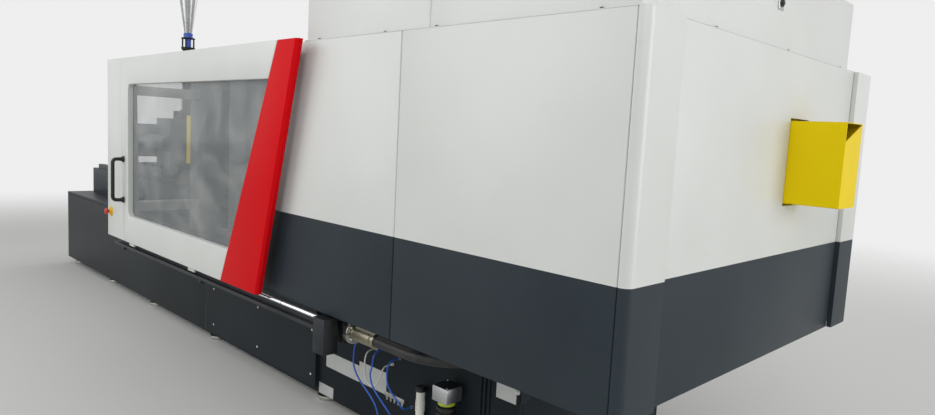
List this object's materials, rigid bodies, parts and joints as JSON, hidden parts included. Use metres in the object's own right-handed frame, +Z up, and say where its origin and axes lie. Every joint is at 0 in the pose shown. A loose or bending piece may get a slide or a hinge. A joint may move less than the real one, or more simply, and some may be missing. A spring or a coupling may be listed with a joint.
{
  "type": "injection moulding machine",
  "caption": "Horizontal injection moulding machine with a hydraulic clamp, sliding guard gates with a red slanted stripe, sheet covers and a screw injection unit with hopper.",
  "frame": {"origin": "on the floor, halfway along and across the machine", "axes": "+X towards the clamp end, -Y the rear side with the shown gate, +Z up"},
  "size_m": [6.9, 2.262, 2.9335],
  "materials": {
    "painted_white": "semi-gloss",
    "painted_slate": "semi-gloss",
    "painted_red": "semi-gloss",
    "painted_yellow": "semi-gloss",
    "painted_black": "satin",
    "painted_iron": "satin",
    "ground_steel": "satin",
    "chromed_steel": "polished",
    "zinc_steel": "matt",
    "clear_pane": "clear",
    "black_plastic": "matt",
    "red_plastic": "gloss",
    "yellow_plastic": "gloss",
    "blue_plastic": "satin",
    "white_plastic": "matt",
    "hose_rubber": "matt"
  },
  "bodies": {
    "machine": {"base_sides": "painted_slate", "base_ribs": "painted_slate", "base_top_plate": "painted_slate", "base_covers": "painted_slate", "levelling_feet": "zinc_steel", "platen_rails": "ground_steel", "stationary_platen": "painted_iron", "cylinder_platen": "painted_iron", "tie_bars": "chromed_steel", "tie_bar_nuts": "ground_steel", "platen_cylinders": "painted_black", "prefill_valve": "ground_steel", "oil_tank": "painted_slate", "pump_unit": "painted_iron", "valve_block": "ground_steel", "hose_fitting": "zinc_steel", "clamp_hose": "hose_rubber", "lube_lines": "blue_plastic", "sensor_cable": "white_plastic", "gate_rails": "painted_black", "guide_rods": "chromed_steel", "cover_frame": "painted_iron", "cover_rear_a": "painted_white", "cover_rear_b": "painted_white", "corner_rear": "painted_white", "end_panel": "painted_white", "corner_front": "painted_white", "cover_front": "painted_white", "top_hood_a": "painted_white", "top_hood_b": "painted_white", "end_guard": "painted_yellow", "gate_posts": "painted_white", "estop_bases": "yellow_plastic", "injection_bed": "painted_slate", "control_cabinet": "painted_white"},
    "rear_gate": {"gate_rear": "painted_white", "gate_stripe_rear": "painted_red", "gate_window_rear": "clear_pane", "gate_handle_rear": "black_plastic"},
    "front_gate": {"gate_front": "painted_white", "gate_stripe_front": "painted_red", "gate_window_front": "clear_pane", "gate_handle_front": "black_plastic"},
    "clamp": {"moving_platen": "painted_iron", "clamp_rams": "chromed_steel"},
    "ejector": {"ejector": "ground_steel"},
    "carriage": {"injection_housing": "painted_iron", "barrel": "ground_steel", "heater_bands": "zinc_steel", "hopper_neck": "painted_black", "hopper": "ground_steel"},
    "hopper_lid": {"hopper_lid": "ground_steel"},
    "screw_drive": {"screw_drive": "painted_iron"},
    "screw": {"screw": "ground_steel"},
    "purge_guard": {"purge_guard": "painted_yellow"},
    "cabinet_door": {"cabinet_door": "painted_white"},
    "main_switch": {"main_switch": "red_plastic"},
    "control_panel": {"control_panel": "painted_slate"},
    "stop_rear": {"estop_button_rear": "red_plastic"},
    "stop_front": {"estop_button_front": "red_plastic"}
  },
  "joints": [
    {"name": "rear_gate_slide", "type": "slide", "parent": "machine", "child": "rear_gate", "axis": [1, 0, 0], "range_m": [0, 1.1]},
    {"name": "front_gate_slide", "type": "slide", "parent": "machine", "child": "front_gate", "axis": [1, 0, 0], "range_m": [0, 1.1]},
    {"name": "platen_slide", "type": "slide", "parent": "machine", "child": "clamp", "axis": [1, 0, 0], "range_m": [0, 0.7]},
    {"name": "ejector_slide", "type": "slide", "parent": "clamp", "child": "ejector", "axis": [-1, 0, 0], "range_m": [0, 0.15]},
    {"name": "carriage_slide", "type": "slide", "parent": "machine", "child": "carriage", "axis": [-1, 0, 0], "range_m": [0, 0.35]},
    {"name": "screw_slide", "type": "slide", "parent": "carriage", "child": "screw_drive", "axis": [-1, 0, 0], "range_m": [0, 0.26]},
    {"name": "screw_spin", "type": "hinge", "parent": "screw_drive", "child": "screw", "pos_m": [-2.3, 0, 1.29], "axis": [1, 0, 0], "continuous": true},
    {"name": "hopper_lid_hinge", "type": "hinge", "parent": "carriage", "child": "hopper_lid", "pos_m": [-1.895, 0.136, 2.8465], "axis": [-1, 0, 0], "range_deg": [0, 100]},
    {"name": "purge_guard_hinge", "type": "hinge", "parent": "machine", "child": "purge_guard", "pos_m": [-1.035, 0.278, 1.15], "axis": [-1, 0, 0], "range_deg": [0, 95]},
    {"name": "cabinet_door_hinge", "type": "hinge", "parent": "machine", "child": "cabinet_door", "pos_m": [-2.384, 0.955, 0.95], "axis": [0, 0, -1], "range_deg": [0, 110]},
    {"name": "main_switch_turn", "type": "hinge", "parent": "cabinet_door", "child": "main_switch", "pos_m": [-3.19, 0.965, 1.5], "axis": [0, 1, 0], "range_deg": [0, 90]},
    {"name": "control_panel_swivel", "type": "hinge", "parent": "machine", "child": "control_panel", "pos_m": [-0.653, 1.025, 1.4], "axis": [0, 0, -1], "range_deg": [0, 60]},
    {"name": "stop_rear_press", "type": "slide", "parent": "machine", "child": "stop_rear", "axis": [0, 1, 0], "range_m": [0, 0.006], "stiffness_N_per_m": 400},
    {"name": "stop_front_press", "type": "slide", "parent": "machine", "child": "stop_front", "axis": [0, -1, 0], "range_m": [0, 0.006], "stiffness_N_per_m": 400}
  ]
}
